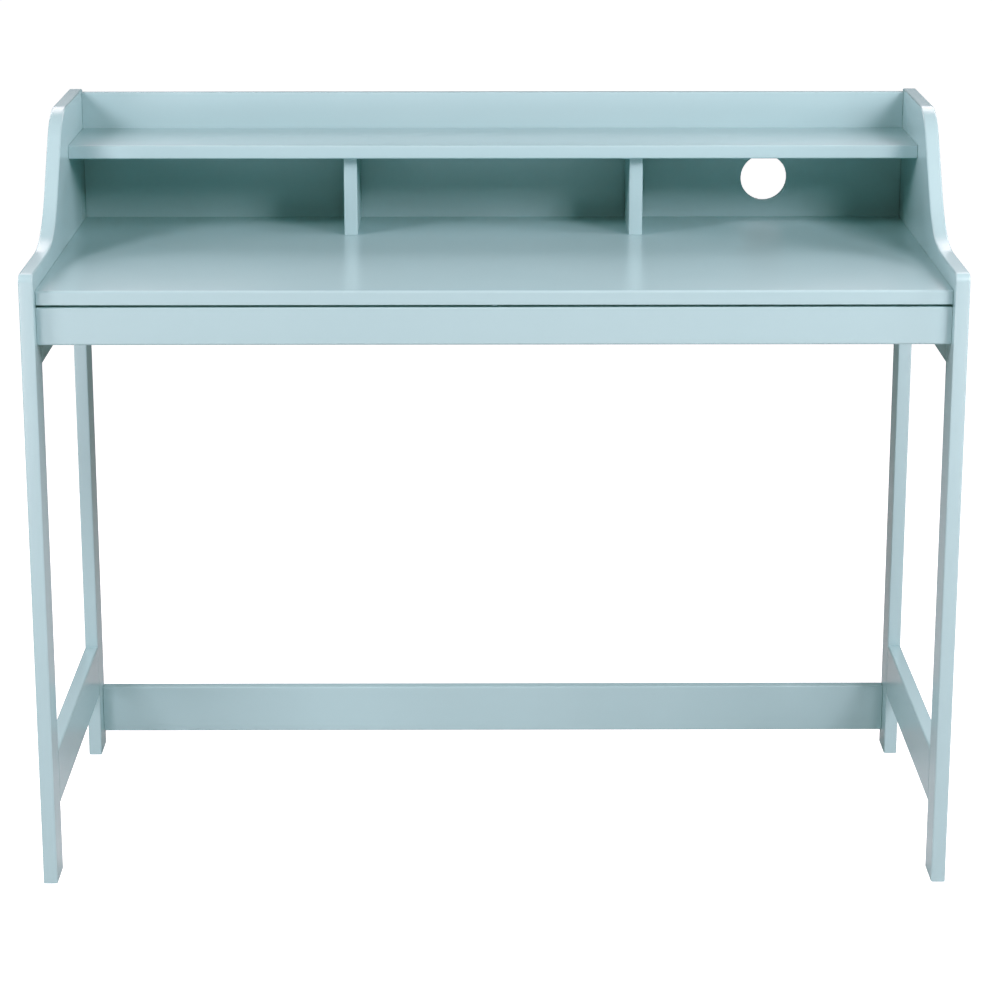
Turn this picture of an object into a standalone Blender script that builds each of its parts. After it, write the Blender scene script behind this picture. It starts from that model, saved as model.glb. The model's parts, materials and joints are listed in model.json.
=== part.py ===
"""Secretary desk: a writing desk with a low hutch of three cubbies between two open side frames.

Metres, +Z up. The origin is on the floor under the middle of the desk, +X runs along its width and -Y is
the sitter's side. Each side frame is four sticks joined by tenons and dowels. The boards between the two
frames come apart: cam bolts and cams pull them against the frames, and screws hold the back panel.
"""

import math

import bmesh
import bpy
from mathutils import Vector

# Overall size
WIDTH = 1.100
DEPTH = 0.500
HEIGHT = 0.900
BOARD = 0.017  # thickness of every board except the back panel
GAP = 0.0003  # clearance left between pieces that touch
EASE = 0.0015  # eased long edges

# Side frames
LEG_DEPTH = 0.053
ARM_HEIGHT = 0.755  # top of the front leg and of the low part of the side panel
ARM_ROUND = 0.010  # front top corner of the front leg
PANEL_BOTTOM = 0.638
CURVE_START = -0.119  # where the arm's top edge starts to rise, along Y
CURVE_END = 0.094  # where it reaches full height
CURVE_LOW_RADIUS = 0.130
CURVE_HIGH_RADIUS = 0.075
CURVE_STEPS = 8
STRETCHER_LOW = 0.085
STRETCHER_HIGH = 0.154
TENON_LENGTH = 0.015
TENON_THICK = 0.009
TENON_SHOULDER = 0.012  # above and below the tenon

# Boards between the side frames
DESKTOP_TOP = 0.733
DESKTOP_SETBACK = 0.015
APRON_GAP = 0.003  # shadow gap between desktop and apron
APRON_HEIGHT = 0.045
APRON_SETBACK = 0.0165
SHELF_TOP = 0.850
SHELF_FRONT = 0.095
DIVIDER_FRONT = 0.111
BACK_THICK = 0.009
BACK_TOP = 0.8965
CABLE_HOLE_DIAMETER = 0.060
CABLE_HOLE_X = 0.354
CABLE_HOLE_Z = 0.7845
REAR_STRETCHER_LOW = 0.021
REAR_STRETCHER_HIGH = 0.084

# Hardware
DOWEL_DIAMETER = 0.008
DOWEL_LENGTH = 0.028
DOWEL_CHAMFER = 0.0008
CAM_DIAMETER = 0.015
CAM_HEIGHT = 0.0123
CAM_INSET = 0.034  # cam centre from the end of its board
CAM_SLOT = 0.0078
CAM_CROSS_DEPTH = 0.002
CAM_CROSS_WIDTH = 0.0014
CAM_CROSS_LENGTH = 0.009
BOLT_SHANK = 0.006
BOLT_HEAD = 0.0066
BOLT_NECK = 0.004
BOLT_FLANGE = 0.0078
BOLT_IN_FRAME = 0.0105  # threaded length in the side frame
BOLT_PAST_CAM = 0.0033  # head end beyond the cam's centre
SCREW_DIAMETER = 0.004
SCREW_HEAD = 0.008
SCREW_HEAD_HEIGHT = 0.0026
SCREW_LENGTH = 0.035
SCREW_TIP = 0.006
ROUND_SIDES = 16
HOLE_SIDES = 48
OVERRUN = 0.002  # how far a cutter runs past the face it opens

# Derived places
INNER = WIDTH / 2 - BOARD  # inner face of a side frame
FRAME_MIDDLE = WIDTH / 2 - BOARD / 2
FRONT = -DEPTH / 2
REAR = DEPTH / 2
LEG_JOINT = DEPTH / 2 - LEG_DEPTH  # where side panel and stretcher meet the legs, both ways along Y
BETWEEN = INNER - GAP  # half length of the boards between the frames
DESKTOP_BOTTOM = DESKTOP_TOP - BOARD
SHELF_BOTTOM = SHELF_TOP - BOARD
APRON_TOP = DESKTOP_BOTTOM - APRON_GAP
BACK_FACE = REAR - BACK_THICK
DIVIDER_X = (INNER + BOARD / 2) / 3  # three equal cubbies
APRON_MIDDLE = FRONT + APRON_SETBACK + BOARD / 2
REAR_STRETCHER_MIDDLE = REAR - BOARD / 2

# Heights and places of the fasteners
PANEL_DOWELS_FRONT = (0.660, 0.732)
PANEL_DOWELS_REAR = (0.670, 0.870)
DESKTOP_CAM_Y = (-0.130, 0.130)
SHELF_CAM_Y = 0.130
SHELF_DOWEL_Y = 0.172
APRON_CAM_Z = 0.681
APRON_DOWEL_Z = 0.702
REAR_CAM_Z = 0.040
REAR_DOWEL_Z = 0.067
DIVIDER_DOWEL_Y = 0.150
DIVIDER_SCREW_Z = 0.783
BACK_SCREW_X = (-0.400, 0.0, 0.400)

SIDES = (("left", -1), ("right", 1))


def clear_scene():
    for thing in list(bpy.data.objects):
        bpy.data.objects.remove(thing)


def collection(name):
    made = bpy.data.collections.new(name)
    bpy.context.scene.collection.children.link(made)
    return made


def material(name, colour, roughness, metallic=0.0):
    made = bpy.data.materials.new(name)
    made.use_nodes = True
    shader = made.node_tree.nodes["Principled BSDF"]
    shader.inputs["Base Color"].default_value = (*colour, 1.0)
    shader.inputs["Roughness"].default_value = roughness
    shader.inputs["Metallic"].default_value = metallic
    made.diffuse_color = (*colour, 1.0)
    return made


clear_scene()
DESK = collection("secretary_desk")
CUTTERS = collection("cutters")
ORIGIN = bpy.data.objects.new("desk_origin", None)
DESK.objects.link(ORIGIN)
PAINT = material("satin_teal_paint", (0.31, 0.51, 0.55), 0.35)
BEECH = material("beech", (0.62, 0.42, 0.24), 0.6)
ZINC = material("zinc_plate", (0.62, 0.63, 0.64), 0.35, 1.0)
CAST_ZINC = material("cast_zinc", (0.45, 0.46, 0.48), 0.5, 1.0)


def add_part(name, mesh, paint, location=(0, 0, 0), rotation=(0, 0, 0)):
    """Links a mesh as one sub-part of the desk."""
    if not mesh.materials:
        mesh.materials.append(paint)
    part = bpy.data.objects.new(name, mesh)
    part.location = location
    part.rotation_euler = rotation
    part.parent = ORIGIN
    DESK.objects.link(part)
    return part


def box_mesh(name, low, high):
    """A box about its own middle. Returns the mesh and that middle."""
    low, high = Vector(low), Vector(high)
    shape = bmesh.new()
    bmesh.ops.create_cube(shape, size=1.0)
    bmesh.ops.scale(shape, vec=high - low, verts=shape.verts)
    mesh = bpy.data.meshes.new(name)
    shape.to_mesh(mesh)
    shape.free()
    return mesh, (low + high) / 2


def round_edges(mesh, sides, radius, segments):
    """Rounds the box edges shared by pairs of sides, such as "-Y+Z"."""
    shape = bmesh.new()
    shape.from_mesh(mesh)
    chosen = []
    for pair in sides:
        wanted = [("XYZ".index(pair[i + 1]), 1 if pair[i] == "+" else -1) for i in (0, 2)]
        for edge in shape.edges:
            middle = (edge.verts[0].co + edge.verts[1].co) / 2
            along = edge.verts[1].co - edge.verts[0].co
            on_both = all(middle[axis] * sign > 0 for axis, sign in wanted)
            level = all(abs(along[axis]) < 1e-6 for axis, _ in wanted)
            if on_both and level:
                chosen.append(edge)
    bmesh.ops.bevel(shape, geom=chosen, offset=radius, segments=segments, profile=0.5, affect="EDGES")
    shape.to_mesh(mesh)
    shape.free()
    mesh.shade_smooth()
    mesh.set_sharp_from_angle(angle=math.radians(35))


def board(name, low, high, eased=(), radius=EASE, segments=2):
    """A painted board between two corners, with some of its edges eased."""
    mesh, middle = box_mesh(name, low, high)
    if eased:
        round_edges(mesh, eased, radius, segments)
    return add_part(name, mesh, PAINT, middle)


def cut(part, cutter):
    """Cuts the cutter out of a part with a Boolean modifier."""
    tool = part.modifiers.new(cutter.name, "BOOLEAN")
    tool.operation = "DIFFERENCE"
    tool.solver = "EXACT"
    tool.object = cutter


def add_cutter(name, mesh, location, rotation=(0, 0, 0)):
    cutter = bpy.data.objects.new(name, mesh)
    cutter.location = location
    cutter.rotation_euler = rotation
    cutter.display_type = "WIRE"
    cutter.hide_render = True
    CUTTERS.objects.link(cutter)
    return cutter


# Rotations that turn a local +Z axis along a world direction
TURN = {
    "+X": (0, math.radians(90), 0),
    "-X": (0, math.radians(-90), 0),
    "+Y": (math.radians(-90), 0, 0),
    "-Y": (math.radians(90), 0, 0),
    "+Z": (0, 0, 0),
    "-Z": (math.radians(180), 0, 0),
}


def direction(way):
    sign = 1 if way[0] == "+" else -1
    return Vector([sign if letter == way[1] else 0 for letter in "XYZ"])


def drill(part, mouth, way, radius, depth, end_radius=None, sides=ROUND_SIDES, before=OVERRUN):
    """Drills a round hole of a given depth from its mouth, or a tapered one with end_radius."""
    shape = bmesh.new()
    length = depth + before
    bmesh.ops.create_cone(
        shape,
        cap_ends=True,
        segments=sides,
        radius1=radius,
        radius2=radius if end_radius is None else end_radius,
        depth=length,
    )
    mesh = bpy.data.meshes.new("drill")
    shape.to_mesh(mesh)
    shape.free()
    middle = Vector(mouth) + direction(way) * (depth - before) / 2
    cut(part, add_cutter(f"{part.name}_drill", mesh, middle, TURN[way]))


def pocket(part, low, high):
    """Cuts a square-cornered pocket."""
    mesh, middle = box_mesh("pocket", low, high)
    cut(part, add_cutter(f"{part.name}_pocket", mesh, middle))


def settled(part):
    """The mesh of an object with its modifiers applied, welded, and the object removed."""
    bpy.context.view_layer.update()
    graph = bpy.context.evaluated_depsgraph_get()
    mesh = bpy.data.meshes.new_from_object(part.evaluated_get(graph))
    shape = bmesh.new()
    shape.from_mesh(mesh)
    bmesh.ops.remove_doubles(shape, verts=shape.verts, dist=0.00001)
    shape.to_mesh(mesh)
    shape.free()
    bpy.data.objects.remove(part)
    return mesh


def turned_mesh(name, profile):
    """A solid of revolution about Z from (radius, height) points, from its top down its outer side."""
    mesh = bpy.data.meshes.new(name)
    points = [(radius, 0.0, height) for radius, height in profile]
    mesh.from_pydata(points, [(i, i + 1) for i in range(len(points) - 1)], [])
    turning = bpy.data.objects.new(name, mesh)
    bpy.context.scene.collection.objects.link(turning)
    screw = turning.modifiers.new("turn", "SCREW")
    screw.steps = ROUND_SIDES
    screw.render_steps = ROUND_SIDES
    screw.use_merge_vertices = True
    screw.merge_threshold = 0.00001
    solid = settled(turning)
    solid.shade_smooth()
    solid.set_sharp_from_angle(angle=math.radians(35))
    return solid


def outline_mesh(name, points):
    """A board cut to an outline of (y, z) points, BOARD thick about x = 0."""
    curve = bpy.data.curves.new(name, "CURVE")
    curve.dimensions = "2D"
    curve.fill_mode = "BOTH"
    curve.extrude = BOARD / 2
    line = curve.splines.new("POLY")
    line.points.add(len(points) - 1)
    for point, (y, z) in zip(line.points, points):
        point.co = (y, z, 0.0, 1.0)
    line.use_cyclic_u = True
    drawn = bpy.data.objects.new(name, curve)
    bpy.context.scene.collection.objects.link(drawn)
    mesh = settled(drawn)
    # The curve lies in XY: its x becomes world y, its y world z, and its thickness world x
    for vertex in mesh.vertices:
        y, z, x = vertex.co
        vertex.co = (x, y, z)
    return mesh


# ---------------------------------------------------------------- side frames


def front_leg(side, sign):
    """The stick from the floor to the arm's rounded front corner."""
    x = (sign * INNER, sign * WIDTH / 2)
    low = (min(x), FRONT, 0.0)
    high = (max(x), FRONT + LEG_DEPTH, ARM_HEIGHT)
    leg = board(f"{side}_front_leg", low, high, ("-Y+Z",), ARM_ROUND, 6)
    joint = Vector((sign * FRAME_MIDDLE, -LEG_JOINT, 0))
    for z in PANEL_DOWELS_FRONT:
        drill_dowel(leg, joint + Vector((0, 0, z)), "-Y")
    mortise(leg, sign, -LEG_JOINT, -1)
    face = sign * INNER
    drill_bolt(leg, (face, APRON_MIDDLE, APRON_CAM_Z), sign)
    drill_dowel(leg, (face, APRON_MIDDLE, APRON_DOWEL_Z), "+X" if sign > 0 else "-X", 0.011)


def rear_leg(side, sign):
    """The full-height stick behind, which the hutch leans on."""
    x = (sign * INNER, sign * WIDTH / 2)
    leg = board(f"{side}_rear_leg", (min(x), LEG_JOINT, 0.0), (max(x), REAR, HEIGHT))
    joint = Vector((sign * FRAME_MIDDLE, LEG_JOINT, 0))
    for z in PANEL_DOWELS_REAR:
        drill_dowel(leg, joint + Vector((0, 0, z)), "+Y")
    mortise(leg, sign, LEG_JOINT, 1)
    face = sign * INNER
    drill_bolt(leg, (face, REAR_STRETCHER_MIDDLE, REAR_CAM_Z), sign)
    drill_dowel(leg, (face, REAR_STRETCHER_MIDDLE, REAR_DOWEL_Z), "+X" if sign > 0 else "-X", 0.011)


def mortise(leg, sign, joint, way):
    """The blind pocket for a side stretcher's tenon."""
    half = TENON_THICK / 2 + GAP
    middle = sign * FRAME_MIDDLE
    ends = (joint - way * OVERRUN, joint + way * (TENON_LENGTH + GAP))
    low = (middle - half, min(ends), STRETCHER_LOW + TENON_SHOULDER - GAP)
    high = (middle + half, max(ends), STRETCHER_HIGH - TENON_SHOULDER + GAP)
    pocket(leg, low, high)


def side_curve():
    """The top edge of the side panel: flat arm, hollow arc, straight slope, round arc, flat top."""
    run = CURVE_END - CURVE_START
    rise = HEIGHT - ARM_HEIGHT
    both = CURVE_LOW_RADIUS + CURVE_HIGH_RADIUS
    slope = math.asin(both / math.hypot(run, both - rise)) - math.atan2(both - rise, run)
    points = []
    for i in range(CURVE_STEPS + 1):
        turn = slope * i / CURVE_STEPS
        points.append(
            (
                CURVE_START + CURVE_LOW_RADIUS * math.sin(turn),
                ARM_HEIGHT + CURVE_LOW_RADIUS * (1 - math.cos(turn)),
            )
        )
    for i in range(CURVE_STEPS + 1):
        turn = slope * (1 - i / CURVE_STEPS)
        points.append(
            (
                CURVE_END - CURVE_HIGH_RADIUS * math.sin(turn),
                HEIGHT - CURVE_HIGH_RADIUS * (1 - math.cos(turn)),
            )
        )
    return points


def side_panel(side, sign):
    """The curved board between the two legs, which the desktop and the shelf hang on."""
    end = LEG_JOINT - GAP
    outline = [(-end, PANEL_BOTTOM), (end, PANEL_BOTTOM), (end, HEIGHT)]
    outline += reversed(side_curve())
    outline += [(-end, ARM_HEIGHT)]
    mesh = outline_mesh(f"{side}_side_panel", outline)
    panel = add_part(f"{side}_side_panel", mesh, PAINT, (sign * FRAME_MIDDLE, 0, 0))
    for z in PANEL_DOWELS_FRONT:
        drill_dowel(panel, (sign * FRAME_MIDDLE, -end, z), "+Y")
    for z in PANEL_DOWELS_REAR:
        drill_dowel(panel, (sign * FRAME_MIDDLE, end, z), "-Y")
    face = sign * INNER
    for y in DESKTOP_CAM_Y:
        drill_bolt(panel, (face, y, DESKTOP_TOP - BOARD / 2), sign)
    drill_bolt(panel, (face, SHELF_CAM_Y, SHELF_TOP - BOARD / 2), sign)
    drill_dowel(panel, (face, SHELF_DOWEL_Y, SHELF_TOP - BOARD / 2), "+X" if sign > 0 else "-X", 0.011)


def side_stretcher(side, sign):
    """The low rail of a side frame, with a stub tenon at each end."""
    x = (sign * INNER, sign * WIDTH / 2)
    end = LEG_JOINT - GAP
    rail = board(
        f"{side}_side_stretcher",
        (min(x), -end - TENON_LENGTH, STRETCHER_LOW),
        (max(x), end + TENON_LENGTH, STRETCHER_HIGH),
    )
    cheek = (BOARD - TENON_THICK) / 2
    for way in (-1, 1):
        ys = sorted((way * end, way * (end + TENON_LENGTH + OVERRUN)))
        for low_x, high_x in ((min(x) - OVERRUN, min(x) + cheek), (max(x) - cheek, max(x) + OVERRUN)):
            pocket(
                rail,
                (low_x, ys[0], STRETCHER_LOW - OVERRUN),
                (high_x, ys[1], STRETCHER_HIGH + OVERRUN),
            )
        for low_z, high_z in (
            (STRETCHER_LOW - OVERRUN, STRETCHER_LOW + TENON_SHOULDER),
            (STRETCHER_HIGH - TENON_SHOULDER, STRETCHER_HIGH + OVERRUN),
        ):
            pocket(rail, (min(x) - OVERRUN, ys[0], low_z), (max(x) + OVERRUN, ys[1], high_z))


# ---------------------------------------------------------------- boards between the frames


def desktop():
    top = board(
        "desktop",
        (-BETWEEN, FRONT + DESKTOP_SETBACK, DESKTOP_BOTTOM),
        (BETWEEN, BACK_FACE - GAP, DESKTOP_TOP),
        ("-Y+Z", "-Y-Z"),
    )
    for _, sign in SIDES:
        for y in DESKTOP_CAM_Y:
            drill_cam(top, sign, (y, DESKTOP_BOTTOM), "+Z", (y, DESKTOP_TOP - BOARD / 2))
        drill_dowel(top, (sign * DIVIDER_X, DIVIDER_DOWEL_Y, DESKTOP_TOP), "-Z", 0.012)
    drill_dowel(top, (0, APRON_MIDDLE, DESKTOP_BOTTOM), "+Z", 0.010)
    for x in BACK_SCREW_X:
        drill_pilot(top, (x, BACK_FACE - GAP, DESKTOP_TOP - BOARD / 2))


def hutch_shelf():
    shelf = board(
        "hutch_shelf",
        (-BETWEEN, SHELF_FRONT, SHELF_BOTTOM),
        (BETWEEN, BACK_FACE - GAP, SHELF_TOP),
        ("-Y+Z", "-Y-Z"),
    )
    middle = SHELF_TOP - BOARD / 2
    for _, sign in SIDES:
        drill_cam(shelf, sign, (SHELF_CAM_Y, SHELF_BOTTOM), "+Z", (SHELF_CAM_Y, middle))
        drill_dowel(shelf, (sign * BETWEEN, SHELF_DOWEL_Y, middle), "-X" if sign > 0 else "+X", 0.018)
    for x in BACK_SCREW_X:
        drill_pilot(shelf, (x, BACK_FACE - GAP, middle))


def divider(side, sign):
    x = sign * DIVIDER_X
    upright = board(
        f"{side}_divider",
        (x - BOARD / 2, DIVIDER_FRONT, DESKTOP_TOP + GAP),
        (x + BOARD / 2, BACK_FACE - GAP, SHELF_BOTTOM - GAP),
        ("-X-Y", "+X-Y"),
    )
    drill_dowel(upright, (x, DIVIDER_DOWEL_Y, DESKTOP_TOP + GAP), "+Z", 0.017)
    drill_pilot(upright, (x, BACK_FACE - GAP, DIVIDER_SCREW_Z))


def back_panel():
    """The thin board behind the cubbies, with the cable hole in the right one."""
    panel = board(
        "back_panel",
        (-BETWEEN, BACK_FACE, DESKTOP_BOTTOM),
        (BETWEEN, REAR, BACK_TOP),
        ("-Y+Z", "+Y+Z"),
    )
    mouth = (CABLE_HOLE_X, REAR, CABLE_HOLE_Z)
    drill(panel, mouth, "-Y", CABLE_HOLE_DIAMETER / 2, BACK_THICK + OVERRUN, sides=HOLE_SIDES)
    for x, z in back_screw_places():
        drill(panel, (x, REAR, z), "-Y", SCREW_DIAMETER / 2 + GAP, BACK_THICK + OVERRUN)
        sink = SCREW_HEAD / 2 + 0.0005
        drill(
            panel,
            (x, REAR, z),
            "-Y",
            sink + OVERRUN * 0.6,
            SCREW_HEAD_HEIGHT + 0.0006,
            end_radius=SCREW_DIAMETER / 2 + GAP,
        )


def back_screw_places():
    """(x, z) of every screw through the back panel: into the desktop, the shelf and each divider."""
    places = [(x, DESKTOP_TOP - BOARD / 2) for x in BACK_SCREW_X]
    places += [(x, SHELF_TOP - BOARD / 2) for x in BACK_SCREW_X]
    places += [(sign * DIVIDER_X, DIVIDER_SCREW_Z) for _, sign in SIDES]
    return places


def front_apron():
    apron = board(
        "front_apron",
        (-BETWEEN, APRON_MIDDLE - BOARD / 2, APRON_TOP - APRON_HEIGHT),
        (BETWEEN, APRON_MIDDLE + BOARD / 2, APRON_TOP),
        ("-Y+Z", "-Y-Z"),
    )
    cam_rail(apron, APRON_MIDDLE, APRON_CAM_Z, APRON_DOWEL_Z)
    drill_dowel(apron, (0, APRON_MIDDLE, APRON_TOP), "-Z", 0.015)


def rear_stretcher():
    rail = board(
        "rear_stretcher",
        (-BETWEEN, REAR - BOARD, REAR_STRETCHER_LOW),
        (BETWEEN, REAR, REAR_STRETCHER_HIGH),
        ("-Y+Z", "-Y-Z", "+Y+Z", "+Y-Z"),
    )
    cam_rail(rail, REAR_STRETCHER_MIDDLE, REAR_CAM_Z, REAR_DOWEL_Z)


def cam_rail(rail, middle, cam_z, dowel_z):
    """Drills a rail for a cam, opening on its rear face, and a dowel at each end."""
    for _, sign in SIDES:
        drill_cam(rail, sign, (middle + BOARD / 2, cam_z), "-Y", (middle, cam_z))
        drill_dowel(rail, (sign * BETWEEN, middle, dowel_z), "-X" if sign > 0 else "+X", 0.018)


# ---------------------------------------------------------------- holes for the hardware


def drill_dowel(part, mouth, way, depth=DOWEL_LENGTH / 2 + 0.001):
    drill(part, mouth, way, DOWEL_DIAMETER / 2 + GAP, depth)


def drill_bolt(part, mouth, sign):
    """The hole in a side frame's inner face that a cam bolt is screwed into."""
    drill(part, mouth, "+X" if sign > 0 else "-X", BOLT_SHANK / 2 + GAP, BOLT_IN_FRAME + 0.001)


def drill_cam(part, sign, face, way, axis):
    """A cam's blind hole in a face, and the hole for its bolt from the board's end.

    face and axis are (y, z) of the cam hole's mouth and of the bolt, or the same for a rail."""
    x = sign * (INNER - CAM_INSET)
    drill(part, (x, *face), way, CAM_DIAMETER / 2 + GAP, CAM_HEIGHT + 2 * GAP)
    end = (sign * BETWEEN, *axis)
    drill(part, end, "-X" if sign > 0 else "+X", BOLT_FLANGE / 2 + GAP, CAM_INSET - CAM_DIAMETER / 2 + 0.002)


def drill_pilot(part, mouth):
    drill(part, mouth, "-Y", SCREW_DIAMETER / 2 + GAP, SCREW_LENGTH - BACK_THICK + 0.001)


# ---------------------------------------------------------------- hardware


def dowel_mesh(length):
    r, half, c = DOWEL_DIAMETER / 2, length / 2, DOWEL_CHAMFER
    profile = [(0, half), (r - c, half), (r, half - c), (r, c - half), (r - c, -half), (0, -half)]
    return turned_mesh("dowel", profile)


def cam_bolt_mesh():
    """Head at the origin's +Z end, thread at its -Z end; the origin is at the side frame's face."""
    inside = CAM_INSET + BOLT_PAST_CAM
    head, neck = BOLT_HEAD / 2, BOLT_NECK / 2
    shank, flange = BOLT_SHANK / 2, BOLT_FLANGE / 2
    profile = [
        (0, inside),
        (head - 0.0008, inside),
        (head, inside - 0.0008),
        (head, inside - 0.0024),
        (neck, inside - 0.0030),
        (neck, inside - 0.0060),
        (shank, inside - 0.0075),
        (shank, 0.0035),
        (flange, 0.0030),
        (flange, 0.0012),
        (shank, 0.0006),
        (shank, 0.0008 - BOLT_IN_FRAME),
        (shank - 0.0008, -BOLT_IN_FRAME),
        (0, -BOLT_IN_FRAME),
    ]
    return turned_mesh("cam_bolt", profile)


def cam_mesh():
    """A cam disc about Z with its slotted face down and its bolt slot towards +X."""
    r, half = CAM_DIAMETER / 2, CAM_HEIGHT / 2
    profile = [(0, half), (r - 0.0005, half), (r, half - 0.0005), (r, -half), (0, -half)]
    disc = bpy.data.objects.new("cam", turned_mesh("cam", profile))
    bpy.context.scene.collection.objects.link(disc)
    # The bolt runs BOARD / 2 from the board's face, and the cam sits GAP inside that face
    level = BOARD / 2 - GAP - half
    slot = CAM_SLOT / 2
    pocket(disc, (-slot, -slot, level - slot), (r + OVERRUN, slot, level + slot))
    for long_x, long_y in ((CAM_CROSS_LENGTH, CAM_CROSS_WIDTH), (CAM_CROSS_WIDTH, CAM_CROSS_LENGTH)):
        pocket(
            disc,
            (-long_x / 2, -long_y / 2, -half - OVERRUN),
            (long_x / 2, long_y / 2, -half + CAM_CROSS_DEPTH),
        )
    return settled(disc)


def screw_mesh():
    """A countersunk wood screw, its head's flat face at the origin and its point down -Z."""
    r, head = SCREW_DIAMETER / 2, SCREW_HEAD / 2
    profile = [
        (0, 0),
        (head, 0),
        (head, -0.0003),
        (r, -SCREW_HEAD_HEIGHT),
        (r, SCREW_TIP - SCREW_LENGTH),
        (0, -SCREW_LENGTH),
    ]
    screw = bpy.data.objects.new("screw", turned_mesh("screw", profile))
    bpy.context.scene.collection.objects.link(screw)
    for long_x, long_y in ((0.0044, 0.0010), (0.0010, 0.0044)):
        pocket(screw, (-long_x / 2, -long_y / 2, -0.0016), (long_x / 2, long_y / 2, OVERRUN))
    return settled(screw)


def add_cams_and_bolts():
    """One cam bolt and one cam wherever a board is pulled against a side frame."""
    bolt, cam = cam_bolt_mesh(), cam_mesh()
    inset = BOARD / 2 - GAP - CAM_HEIGHT / 2  # cam's middle from the bolt's axis, towards the open face
    middle = DESKTOP_TOP - BOARD / 2
    spots = [
        ("desktop_front", DESKTOP_CAM_Y[0], middle, "down"),
        ("desktop_rear", DESKTOP_CAM_Y[1], middle, "down"),
        ("shelf", SHELF_CAM_Y, SHELF_TOP - BOARD / 2, "down"),
        ("apron", APRON_MIDDLE, APRON_CAM_Z, "back"),
        ("rear_stretcher", REAR_STRETCHER_MIDDLE, REAR_CAM_Z, "back"),
    ]
    for side, sign in SIDES:
        for place, y, z, face in spots:
            way = "-X" if sign > 0 else "+X"
            add_part(f"{side}_{place}_bolt", bolt, ZINC, (sign * INNER, y, z), TURN[way])
            x = sign * (INNER - CAM_INSET)
            spin = 0 if sign > 0 else math.pi
            if face == "down":
                add_part(f"{side}_{place}_cam", cam, CAST_ZINC, (x, y, z - inset), (0, 0, spin))
            else:
                tilt = (math.radians(90), 0 if sign > 0 else math.pi, 0)
                add_part(f"{side}_{place}_cam", cam, CAST_ZINC, (x, y + inset, z), tilt)


def add_dowels():
    dowel = dowel_mesh(DOWEL_LENGTH)
    for side, sign in SIDES:
        x = sign * FRAME_MIDDLE
        for ends, joint, heights in (
            ("front", -LEG_JOINT, PANEL_DOWELS_FRONT),
            ("rear", LEG_JOINT, PANEL_DOWELS_REAR),
        ):
            for level, z in zip(("lower", "upper"), heights):
                name = f"{side}_panel_{ends}_{level}_dowel"
                add_part(name, dowel, BEECH, (x, joint, z), TURN["+Y"])
        # These go 10 mm into the 17 mm frame and the rest into the board's end
        across = sign * (INNER + 0.010 - DOWEL_LENGTH / 2)
        for place, y, z in (
            ("shelf", SHELF_DOWEL_Y, SHELF_TOP - BOARD / 2),
            ("apron", APRON_MIDDLE, APRON_DOWEL_Z),
            ("rear_stretcher", REAR_STRETCHER_MIDDLE, REAR_DOWEL_Z),
        ):
            add_part(f"{side}_{place}_dowel", dowel, BEECH, (across, y, z), TURN["+X"])
        foot = (sign * DIVIDER_X, DIVIDER_DOWEL_Y, DESKTOP_TOP - 0.0115 + DOWEL_LENGTH / 2)
        add_part(f"{side}_divider_dowel", dowel, BEECH, foot)
    short = dowel_mesh(APRON_GAP + 0.024)
    middle = (DESKTOP_BOTTOM + 0.0095 + APRON_TOP - 0.0145) / 2
    add_part("centre_apron_dowel", short, BEECH, (0, APRON_MIDDLE, middle))


def add_back_screws():
    screw = screw_mesh()
    names = [f"desktop_back_screw_{i}" for i in (1, 2, 3)]
    names += [f"shelf_back_screw_{i}" for i in (1, 2, 3)]
    names += [f"{side}_divider_screw" for side, _ in SIDES]
    for name, (x, z) in zip(names, back_screw_places()):
        add_part(name, screw, ZINC, (x, REAR - GAP, z), TURN["+Y"])


for side_name, side_sign in SIDES:
    front_leg(side_name, side_sign)
    rear_leg(side_name, side_sign)
    side_panel(side_name, side_sign)
    side_stretcher(side_name, side_sign)
    divider(side_name, side_sign)
desktop()
hutch_shelf()
back_panel()
front_apron()
rear_stretcher()
add_cams_and_bolts()
add_dowels()
add_back_screws()
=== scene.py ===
"""Looks for the secretary desk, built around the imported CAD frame.

Every painted board is remade here with finely eased edges and the same holes as its CAD solid. The cams,
bolts, screws and dowels are the CAD's own solids with better materials. Metres, +Z up, -Y is the sitter's
side, as in the frame.
"""

import json
import math

import bmesh
import bpy
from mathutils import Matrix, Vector

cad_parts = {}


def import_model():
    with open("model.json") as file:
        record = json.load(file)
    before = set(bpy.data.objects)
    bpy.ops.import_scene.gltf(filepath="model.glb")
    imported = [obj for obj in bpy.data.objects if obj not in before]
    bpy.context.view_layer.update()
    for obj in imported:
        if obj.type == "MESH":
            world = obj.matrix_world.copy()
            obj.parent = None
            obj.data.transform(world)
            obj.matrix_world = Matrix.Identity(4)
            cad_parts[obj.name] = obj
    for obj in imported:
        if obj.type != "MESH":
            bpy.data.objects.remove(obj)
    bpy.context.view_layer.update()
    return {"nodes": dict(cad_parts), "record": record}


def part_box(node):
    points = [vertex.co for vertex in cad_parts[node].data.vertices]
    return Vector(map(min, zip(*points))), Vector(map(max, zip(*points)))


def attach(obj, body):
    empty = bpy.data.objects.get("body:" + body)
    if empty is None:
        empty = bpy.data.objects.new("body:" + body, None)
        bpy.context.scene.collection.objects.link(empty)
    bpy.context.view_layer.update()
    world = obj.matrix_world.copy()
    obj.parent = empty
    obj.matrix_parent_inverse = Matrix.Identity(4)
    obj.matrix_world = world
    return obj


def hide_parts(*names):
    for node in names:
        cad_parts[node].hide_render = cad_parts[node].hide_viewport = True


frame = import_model()

SIDES = ("left", "right")

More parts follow.
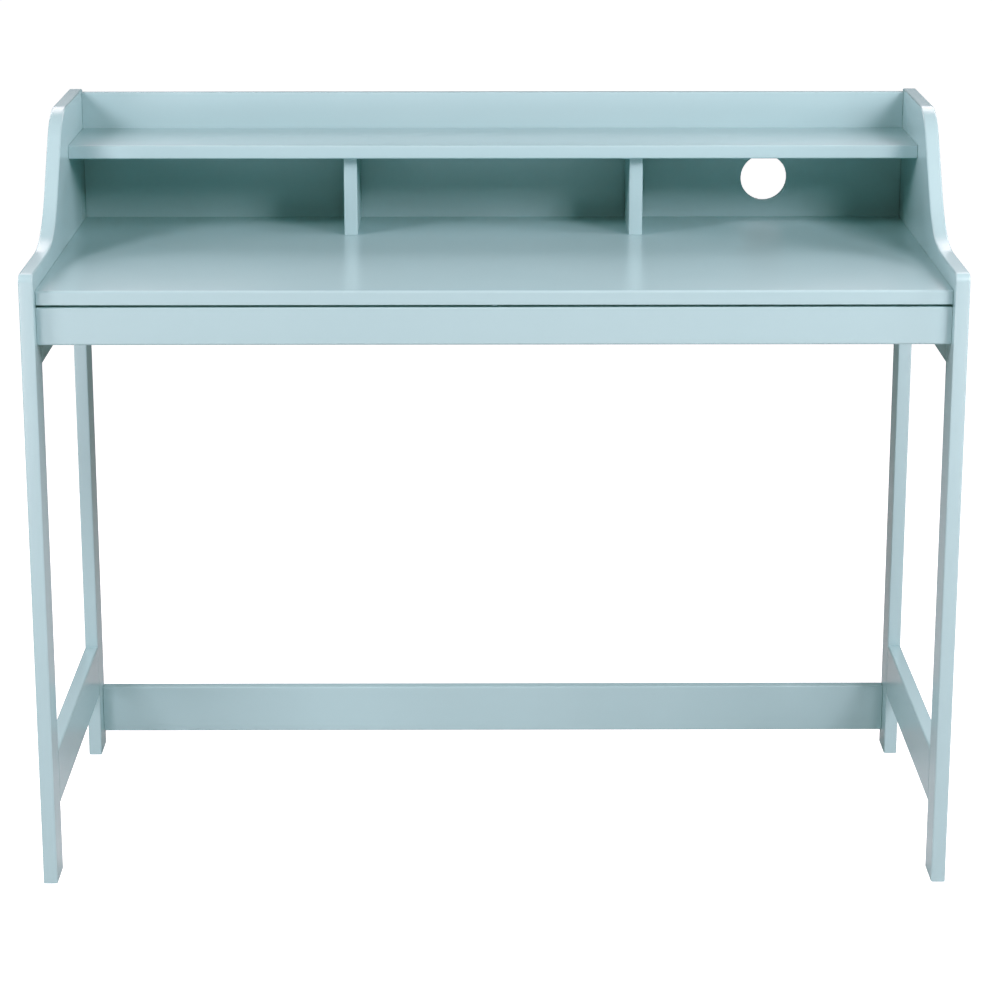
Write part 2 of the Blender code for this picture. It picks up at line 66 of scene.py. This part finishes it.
# Edges
ARRIS = 0.0020  # easing along the sticks of the side frames
ARM_ROUND = 0.010  # front top corner of the front legs
DESKTOP_ROUND = 0.0028  # front top edge
DESKTOP_END_EASE = 0.0006  # upright corners at the ends of the front edge
SHELF_ROUND = 0.0022
RAIL_ROUND = 0.0018  # rear stretcher, dividers and the less handled edges
APRON_ROUND = 0.0028  # front bottom edge
THIN_ROUND = 0.0010  # back panel and hidden edges
ARC_STEPS = 6
BEVEL_STEPS = 3
SHARP_ANGLE = 40  # degrees between faces, beyond which shading breaks
LEVEL = 1e-7  # an edge that runs less than this along X lies across it
TOUCHING = 0.0001  # closer than this to a joint is at the joint
NEAR = 0.001  # closer than this to a face is on the face

# The side panel's top edge, as in the CAD
CURVE_START = -0.119
CURVE_END = 0.094
CURVE_LOW_RADIUS = 0.130
CURVE_HIGH_RADIUS = 0.075
CURVE_STEPS = 24

# Holes
HOLE_SEGMENTS = 64
CLEARANCE = 0.0003  # round a cam in its hole
CAM_CUT_SPARE = 0.004  # a cam's cutter is this much longer than the cam, so that it reaches out of the board
CABLE_HOLE_RADIUS = 0.030
CABLE_CUT = 0.03  # length of its cutter
# A back panel screw's two cutters, for its shank and its countersunk head: radius, length, and how far the
# cutter's middle lies in front of the panel's rear face
SHANK_RADIUS, SHANK_CUT, SHANK_INSET = 0.0023, 0.02, 0.006
SINK_RADIUS, SINK_CUT, SINK_INSET = 0.0065, 0.0052, 0.0006


# ---------------------------------------------------------------- nodes and materials

NOISE_LOW, NOISE_HIGH = 0.3, 0.7  # where most of a noise's values lie
WHITE = (1, 1, 1, 1)
PAINT_LIGHT = (0.343, 0.507, 0.532)
PAINT_DARK = (0.327, 0.493, 0.518)
PAINT_ROUGHNESS = (0.240, 0.262)
ALONG_GRAIN, ACROSS_GRAIN = 1.6, 40  # how finely the grain repeats each way
GRAIN_HEIGHT, GRAIN_STRENGTH = 0.00004, 0.5
PEEL_HEIGHT, PEEL_STRENGTH = 0.00003, 0.6
BEECH_LIGHT = (0.70, 0.49, 0.29)
BEECH_DARK = (0.50, 0.31, 0.16)


class Graph:
    """Short names for adding shader nodes and linking them."""

    def __init__(self, name):
        self.material = bpy.data.materials.new(name)
        self.material.use_nodes = True
        self.tree = self.material.node_tree
        self.shader = self.tree.nodes["Principled BSDF"]

    def add(self, kind, **settings):
        node = self.tree.nodes.new(kind)
        for key, value in settings.items():
            setattr(node, key, value)
        return node

    def link(self, source, target):
        self.tree.links.new(source, target)

    def noise(self, vector, scale, detail=2.0, roughness=0.5):
        node = self.add("ShaderNodeTexNoise")
        node.inputs["Scale"].default_value = scale
        node.inputs["Detail"].default_value = detail
        node.inputs["Roughness"].default_value = roughness
        self.link(vector, node.inputs["Vector"])
        return node.outputs["Fac"]

    def place(self, stretch=(1, 1, 1)):
        """Object coordinates, which are the frame's own metres, stretched along the axes."""
        coordinates = self.add("ShaderNodeTexCoord")
        mapping = self.add("ShaderNodeMapping")
        mapping.inputs["Scale"].default_value = stretch
        self.link(coordinates.outputs["Object"], mapping.inputs["Vector"])
        return mapping.outputs["Vector"]

    def spread(self, value, low, high):
        """Maps a noise's usual values onto low to high, with no kink where it goes beyond them."""
        node = self.add("ShaderNodeMapRange", clamp=False)
        node.inputs["From Min"].default_value = NOISE_LOW
        node.inputs["From Max"].default_value = NOISE_HIGH
        node.inputs["To Min"].default_value = low
        node.inputs["To Max"].default_value = high
        self.link(value, node.inputs["Value"])
        return node.outputs["Result"]

    def blend(self, factor, first, second):
        node = self.add("ShaderNodeMix", data_type="RGBA")
        self.link(factor, node.inputs["Factor"])
        node.inputs["A"].default_value = (*first, 1)
        node.inputs["B"].default_value = (*second, 1)
        return node.outputs["Result"]

    def bump(self, height, distance, strength=1.0, normal=None):
        node = self.add("ShaderNodeBump")
        node.inputs["Distance"].default_value = distance
        node.inputs["Strength"].default_value = strength
        self.link(height, node.inputs["Height"])
        if normal is not None:
            self.link(normal, node.inputs["Normal"])
        return node.outputs["Normal"]


def paint(name, along):
    """Satin paint over wood whose grain runs along one axis: faint grain and a sprayed coat's orange peel."""
    graph = Graph(name)
    stretch = [ALONG_GRAIN if axis == along else ACROSS_GRAIN for axis in "XYZ"]
    grain = graph.noise(graph.place(stretch), 9.0, 5.0, 0.6)
    flow = graph.noise(graph.place(), 5.0, 2.0)
    peel = graph.noise(graph.place(), 420.0, 2.0)
    graph.link(graph.blend(flow, PAINT_DARK, PAINT_LIGHT), graph.shader.inputs["Base Color"])
    graph.link(graph.spread(flow, *PAINT_ROUGHNESS), graph.shader.inputs["Roughness"])
    telegraphed = graph.bump(grain, GRAIN_HEIGHT, GRAIN_STRENGTH)
    graph.link(graph.bump(peel, PEEL_HEIGHT, PEEL_STRENGTH, telegraphed), graph.shader.inputs["Normal"])
    return graph.material


def beech(name):
    """Bare beech, as on a dowel."""
    graph = Graph(name)
    grain = graph.noise(graph.place((260, 260, 260)), 3.0, 4.0)
    graph.link(graph.blend(grain, BEECH_DARK, BEECH_LIGHT), graph.shader.inputs["Base Color"])
    graph.link(graph.spread(grain, 0.5, 0.7), graph.shader.inputs["Roughness"])
    graph.link(graph.bump(grain, 0.0001), graph.shader.inputs["Normal"])
    return graph.material


def metal(name, dark, light, roughness, pitting):
    """Plated or cast metal: a slightly blotchy colour and roughness, and a pitted surface."""
    graph = Graph(name)
    blotch = graph.noise(graph.place(), 300.0, 4.0)
    pits = graph.noise(graph.place(), 1600.0, 3.0)
    graph.shader.inputs["Metallic"].default_value = 1.0
    graph.link(graph.blend(blotch, dark, light), graph.shader.inputs["Base Color"])
    graph.link(graph.spread(blotch, *roughness), graph.shader.inputs["Roughness"])
    graph.link(graph.bump(pits, pitting), graph.shader.inputs["Normal"])
    return graph.material


PAINTS = {axis: paint(f"satin_paint_along_{axis.lower()}", axis) for axis in "XYZ"}
BEECH = beech("beech_dowel")
ZINC = metal("zinc_plate", (0.52, 0.53, 0.55), (0.70, 0.70, 0.69), (0.28, 0.42), 0.00002)
CAST_ZINC = metal("cast_zinc", (0.36, 0.37, 0.39), (0.50, 0.51, 0.53), (0.42, 0.60), 0.00006)


# ---------------------------------------------------------------- boards


def rounded(corners):
    """An outline of (y, z) points from (y, z, radius) corners, rounded by an arc wherever the radius isn't 0."""
    points = []
    for i, (y, z, radius) in enumerate(corners):
        if radius == 0:
            points.append((y, z))
            continue
        here = Vector((y, z))
        before = (Vector(corners[i - 1][:2]) - here).normalized()
        after = (Vector(corners[(i + 1) % len(corners)][:2]) - here).normalized()
        opening = before.angle(after)
        reach = radius / math.tan(opening / 2)
        centre = here + (before + after).normalized() * (radius / math.sin(opening / 2))
        start, end = here + before * reach - centre, here + after * reach - centre
        sweep = start.angle_signed(end)
        for step in range(ARC_STEPS + 1):
            turn = -sweep * step / ARC_STEPS
            cos, sin = math.cos(turn), math.sin(turn)
            points.append((centre.x + cos * start.x - sin * start.y, centre.y + sin * start.x + cos * start.y))
    return points


def prism(outline, x_low, x_high):
    """A solid of the outline's (y, z) points between two places along X, as a bmesh."""
    shape = bmesh.new()
    face = shape.faces.new([shape.verts.new((x_low, y, z)) for y, z in outline])
    pulled = bmesh.ops.extrude_face_region(shape, geom=[face])
    moved = [item for item in pulled["geom"] if isinstance(item, bmesh.types.BMVert)]
    bmesh.ops.translate(shape, vec=(x_high - x_low, 0, 0), verts=moved)
    bmesh.ops.recalc_face_normals(shape, faces=shape.faces)
    return shape


def ease_arrises(shape, radius, exposed):
    """Rounds the edges round both ends of a prism, where exposed(y, z) is true for the edge's middle."""
    chosen = []
    for edge in shape.edges:
        along = edge.verts[1].co - edge.verts[0].co
        middle = (edge.verts[1].co + edge.verts[0].co) / 2
        if abs(along.x) < LEVEL and exposed(middle.y, middle.z):
            chosen.append(edge)
    bmesh.ops.bevel(shape, geom=chosen, offset=radius, segments=BEVEL_STEPS, profile=0.5, affect="EDGES")


def on_front(low):
    """Picks the arrises on the front face of a board whose lowest corner is given."""
    return lambda y, z: y < low.y + NEAR


def board(node, shape, along, holes=()):
    """Makes a painted board that stands for its CAD node, with its holes cut out and its grain along an axis."""
    mesh = bpy.data.meshes.new(f"{node}_painted")
    shape.to_mesh(mesh)
    shape.free()
    mesh.materials.append(PAINTS[along])
    piece = bpy.data.objects.new(f"{node}_painted", mesh)
    bpy.context.scene.collection.objects.link(piece)
    for hole in holes:
        cut = piece.modifiers.new("hole", "BOOLEAN")
        cut.operation = "DIFFERENCE"
        cut.solver = "EXACT"
        cut.object = hole
    bpy.context.view_layer.update()
    drawn = piece.evaluated_get(bpy.context.evaluated_depsgraph_get())
    piece.data = bpy.data.meshes.new_from_object(drawn)
    piece.modifiers.clear()
    for hole in holes:
        bpy.data.objects.remove(hole)
    piece.data.shade_smooth()
    piece.data.set_sharp_from_angle(angle=math.radians(SHARP_ANGLE))
    piece.modifiers.new("even_shading", "WEIGHTED_NORMAL").keep_sharp = True
    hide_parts(node)
    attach(piece, "root")


def round_hole(middle, axis, radius, length, end_radius=None):
    """A cutter about an axis, "Y" or "Z", tapered where it has an end radius."""
    shape = bmesh.new()
    end = radius if end_radius is None else end_radius
    bmesh.ops.create_cone(
        shape, cap_ends=True, segments=HOLE_SEGMENTS, radius1=radius, radius2=end, depth=length
    )
    mesh = bpy.data.meshes.new("cutter")
    shape.to_mesh(mesh)
    shape.free()
    cutter = bpy.data.objects.new("cutter", mesh)
    cutter.location = middle
    cutter.rotation_euler = (math.radians(90), 0, 0) if axis == "Y" else (0, 0, 0)
    bpy.context.scene.collection.objects.link(cutter)
    return cutter


def cam_holes(place, axis):
    """The blind holes round the two cams of a board, opening down, or to the rear along Y."""
    holes = []
    for side in SIDES:
        low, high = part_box(f"{side}_{place}_cam")
        middle = (low + high) / 2
        size = high - low
        depth, opening = (size.y, Vector((0, 1, 0))) if axis == "Y" else (size.z, Vector((0, 0, -1)))
        length = depth + CAM_CUT_SPARE
        middle += opening * ((length - depth) / 2 - CLEARANCE)
        holes.append(round_hole(middle, axis, size.x / 2 + CLEARANCE, length))
    return holes


def crossboard(node, radii, holes=(), end_ease=0):
    """A board that runs from side to side, with (front bottom, rear bottom, rear top, front top) radii."""
    low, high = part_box(node)
    corners = [
        (low.y, low.z, radii[0]),
        (high.y, low.z, radii[1]),
        (high.y, high.z, radii[2]),
        (low.y, high.z, radii[3]),
    ]
    shape = prism(rounded(corners), low.x, high.x)
    if end_ease:
        ease_arrises(shape, end_ease, on_front(low))
    board(node, shape, "X", holes)


def side_curve(low, high):
    """Hollow arc, straight slope and round arc from the arm's height to the full height."""
    run, rise = CURVE_END - CURVE_START, high - low
    both = CURVE_LOW_RADIUS + CURVE_HIGH_RADIUS
    slope = math.asin(both / math.hypot(run, both - rise)) - math.atan2(both - rise, run)
    points = []
    for i in range(CURVE_STEPS + 1):
        turn = slope * i / CURVE_STEPS
        y = CURVE_START + CURVE_LOW_RADIUS * math.sin(turn)
        z = low + CURVE_LOW_RADIUS * (1 - math.cos(turn))
        points.append((y, z))
    for i in range(CURVE_STEPS + 1):
        turn = slope * (1 - i / CURVE_STEPS)
        y = CURVE_END - CURVE_HIGH_RADIUS * math.sin(turn)
        z = high - CURVE_HIGH_RADIUS * (1 - math.cos(turn))
        points.append((y, z))
    return points


def side_frame(side):
    """The four sticks of a side frame, eased wherever they don't meet one another."""
    front_low, front_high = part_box(f"{side}_front_leg")
    rear_low, rear_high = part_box(f"{side}_rear_leg")
    panel_low, panel_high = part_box(f"{side}_side_panel")
    rail_low, rail_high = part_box(f"{side}_side_stretcher")
    front_joint, rear_joint = front_high.y, rear_low.y

    def exposed(y, z):
        at_joint = min(abs(y - front_joint), abs(y - rear_joint)) < TOUCHING
        on_rail = rail_low.z < z < rail_high.z
        on_panel = z > panel_low.z
        return z > NEAR and not (at_joint and (on_rail or on_panel))

    def stick(name, outline, along):
        shape = prism(outline, front_low.x, front_high.x)
        ease_arrises(shape, ARRIS, exposed)
        board(f"{side}_{name}", shape, along)

    splits = [panel_low.z, rail_high.z, rail_low.z]  # the legs' edges are split where a stick meets them
    arm = rounded([(front_high.y, front_high.z, 0), (front_low.y, front_high.z, ARM_ROUND), (front_low.y, 0, 0)])
    outline = [(front_low.y, 0), (front_high.y, 0)]
    outline += [(front_high.y, z) for z in reversed(splits)]
    outline += arm[:-1]
    stick("front_leg", outline, "Z")

    top = rounded([(rear_high.y, 0, 0), (rear_high.y, rear_high.z, RAIL_ROUND), (rear_low.y, rear_high.z, 0)])
    outline = [(rear_low.y, 0), (rear_high.y, 0)]
    outline += top[1:]
    outline += [(rear_low.y, z) for z in splits]
    stick("rear_leg", outline, "Z")

    outline = [(front_joint, panel_low.z), (rear_joint, panel_low.z), (rear_joint, panel_high.z)]
    outline += reversed(side_curve(front_high.z, panel_high.z))
    outline += [(front_joint, front_high.z)]
    stick("side_panel", outline, "Y")

    outline = [(front_joint, rail_low.z), (rear_joint, rail_low.z)]
    outline += [(rear_joint, rail_high.z), (front_joint, rail_high.z)]
    stick("side_stretcher", outline, "Y")


def divider(side):
    """An upright between the desktop and the shelf, eased at its front."""
    low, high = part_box(f"{side}_divider")
    outline = [(low.y, low.z), (high.y, low.z), (high.y, high.z), (low.y, high.z)]
    shape = prism(outline, low.x, high.x)
    ease_arrises(shape, RAIL_ROUND, on_front(low))
    board(f"{side}_divider", shape, "Y")


def back_panel():
    """The back panel, with its cable hole and the countersunk holes for its screws."""
    openings = {hole["name"]: hole["box_m"] for hole in frame["record"]["physics"]["openings"]}
    low, high = (Vector(corner) for corner in openings["cable_hole"])
    holes = [round_hole((low + high) / 2, "Y", CABLE_HOLE_RADIUS, CABLE_CUT)]
    for node in frame["nodes"]:
        if "screw" in node:
            head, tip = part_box(node)
            x, z = (head.x + tip.x) / 2, (head.z + tip.z) / 2
            rear = tip.y + CLEARANCE
            holes.append(round_hole(Vector((x, rear - SHANK_INSET, z)), "Y", SHANK_RADIUS, SHANK_CUT))
            holes.append(round_hole(Vector((x, rear - SINK_INSET, z)), "Y", SINK_RADIUS, SINK_CUT, SHANK_RADIUS))
    crossboard("back_panel", (0, 0, THIN_ROUND, THIN_ROUND), holes)


def hardware():
    """Better materials on the CAD's own cams, bolts, screws and dowels."""
    for node, part in frame["nodes"].items():
        if node == "centre_apron_dowel":
            finish = PAINTS["Z"]
        elif node.endswith("dowel"):
            finish = BEECH
        elif node.endswith("cam"):
            finish = CAST_ZINC
        else:
            finish = ZINC
        for slot in part.material_slots:
            slot.material = finish


for frame_side in SIDES:
    side_frame(frame_side)
for divider_side in SIDES:
    divider(divider_side)
back_panel()
desktop_holes = cam_holes("desktop_front", "Z") + cam_holes("desktop_rear", "Z")
crossboard("desktop", (THIN_ROUND, 0, 0, DESKTOP_ROUND), desktop_holes, DESKTOP_END_EASE)
crossboard("hutch_shelf", (SHELF_ROUND, 0, 0, SHELF_ROUND), cam_holes("shelf", "Z"))
crossboard("front_apron", (APRON_ROUND, THIN_ROUND, THIN_ROUND, RAIL_ROUND), cam_holes("apron", "Y"))
crossboard("rear_stretcher", (RAIL_ROUND,) * 4, cam_holes("rear_stretcher", "Y"))
hardware()


# ---------------------------------------------------------------- floor, light and camera

FLOOR_SIZE = 80.0
FLOOR_DROP = 0.0005  # below the feet
FLOOR_DARK = (0.48, 0.48, 0.48)
FLOOR_LIGHT = (0.52, 0.52, 0.52)
SEEN_GLOW = 1.0  # floor and world as the camera sees them, pure white
WORLD_LIGHT = 0.048  # the world as a light on the desk
LIGHTS_AIM = Vector((0.0, 0.0, 0.60))
LIGHT_TINT = (1.0, 0.878, 0.902)
SOFTBOXES = (  # name, azimuth, elevation, distance, size, watts
    ("right_key", 41, 30, 2.4, (0.75, 0.50), 34),
    ("left_key", -57, 33, 2.4, (0.55, 0.60), 27),
    ("right_fill", 78, 25, 2.4, (0.80, 0.80), 31),
    ("left_fill", -82, 25, 2.4, (0.80, 0.80), 18),
    ("right_low", 32, -8, 2.6, (0.60, 0.60), 9),
    ("left_low", -32, -8, 2.6, (0.60, 0.60), 19),
    ("front_low", 0, 5, 3.6, (1.00, 0.80), 7),
    ("front_high", 0, 46, 2.6, (1.20, 0.80), 11),
    ("rear_right", 148, 35, 2.8, (1.80, 1.40), 10),
    ("rear_left", -148, 35, 2.8, (1.80, 1.40), 10),
)
REAR_SPREAD = 100  # degrees, narrower than a bare light's 180, as through a grid

CAMERA_PLACE = (-0.016, -3.672, 1.448)
CAMERA_DROP = 15.64  # degrees below level
CAMERA_TURN = -0.295  # degrees, positive to the left
FOCAL_LENGTH = 109.6
SENSOR_WIDTH = 36.0

# (input, output) points of the tone curve, and of further curves for red and blue
TONE = ((0.05, 0.034), (0.10, 0.083), (0.20, 0.187), (0.40, 0.397), (0.70, 0.707))
RED_TONE = ((0.03, 0.024), (0.09, 0.076), (0.20, 0.188), (0.40, 0.398))
BLUE_TONE = ((0.08, 0.068), (0.17, 0.156), (0.30, 0.292), (0.50, 0.500))


def camera_glow(graph, strength_socket, seen, felt):
    """Gives a shader one strength where the camera sees it and another as a light on the rest."""
    path = graph.nodes.new("ShaderNodeLightPath")
    strength = graph.nodes.new("ShaderNodeMapRange")
    strength.inputs["To Min"].default_value = felt
    strength.inputs["To Max"].default_value = seen
    graph.links.new(path.outputs["Is Camera Ray"], strength.inputs["Value"])
    graph.links.new(strength.outputs["Result"], strength_socket)


def floor():
    """A plain pale floor that the camera sees as white and that gives the desk no light of its own."""
    shape = bmesh.new()
    bmesh.ops.create_grid(shape, x_segments=1, y_segments=1, size=FLOOR_SIZE / 2)
    mesh = bpy.data.meshes.new("floor")
    shape.to_mesh(mesh)
    shape.free()
    graph = Graph("pale_floor")
    speck = graph.noise(graph.place(), 60.0, 3.0)
    graph.link(graph.blend(speck, FLOOR_DARK, FLOOR_LIGHT), graph.shader.inputs["Base Color"])
    graph.shader.inputs["Roughness"].default_value = 0.8
    graph.shader.inputs["Specular IOR Level"].default_value = 0.1
    graph.shader.inputs["Emission Color"].default_value = WHITE
    camera_glow(graph.tree, graph.shader.inputs["Emission Strength"], SEEN_GLOW, 0.0)
    mesh.materials.append(graph.material)
    plane = bpy.data.objects.new("floor", mesh)
    plane.location.z = -FLOOR_DROP
    bpy.context.scene.collection.objects.link(plane)


def softbox(name, azimuth, elevation, distance, size, power):
    """An area light aimed at the desk: azimuth 0 is in front of it, positive towards +X."""
    light = bpy.data.lights.new(name, "AREA")
    light.shape = "RECTANGLE"
    light.size, light.size_y = size
    light.energy = power
    light.color = LIGHT_TINT
    turn, lift = math.radians(azimuth), math.radians(elevation)
    away = Vector((math.sin(turn) * math.cos(lift), -math.cos(turn) * math.cos(lift), math.sin(lift)))
    if name.startswith("rear"):
        light.spread = math.radians(REAR_SPREAD)
    lamp = bpy.data.objects.new(name, light)
    lamp.location = LIGHTS_AIM + away * distance
    lamp.rotation_euler = away.to_track_quat("Z", "Y").to_euler()
    lamp.visible_camera = False
    bpy.context.scene.collection.objects.link(lamp)


def world():
    """White where the camera sees it, and a faint even light on everything else."""
    made = bpy.data.worlds.new("studio")
    made.use_nodes = True
    background = made.node_tree.nodes["Background"]
    background.inputs["Color"].default_value = WHITE
    camera_glow(made.node_tree, background.inputs["Strength"], SEEN_GLOW, WORLD_LIGHT)
    bpy.context.scene.world = made


def camera():
    """Looks down at the desk from in front of it."""
    lens = bpy.data.cameras.new("camera")
    lens.lens = FOCAL_LENGTH
    lens.sensor_width = SENSOR_WIDTH
    view = bpy.data.objects.new("camera", lens)
    view.location = CAMERA_PLACE
    view.rotation_euler = (math.radians(90 - CAMERA_DROP), 0, math.radians(CAMERA_TURN))
    bpy.context.scene.collection.objects.link(view)
    bpy.context.scene.camera = view


def tone():
    """A photographic curve: the lights stay as they are and the shadows deepen."""
    view = bpy.context.scene.view_settings
    view.view_transform = "Standard"
    view.use_curve_mapping = True
    red, _, blue, every = view.curve_mapping.curves
    for curve, points in ((every, TONE), (red, RED_TONE), (blue, BLUE_TONE)):
        for place, value in points:
            curve.points.new(place, value)
    view.curve_mapping.update()


floor()
for name, *settings in SOFTBOXES:
    softbox(name, *settings)
world()
camera()
tone()
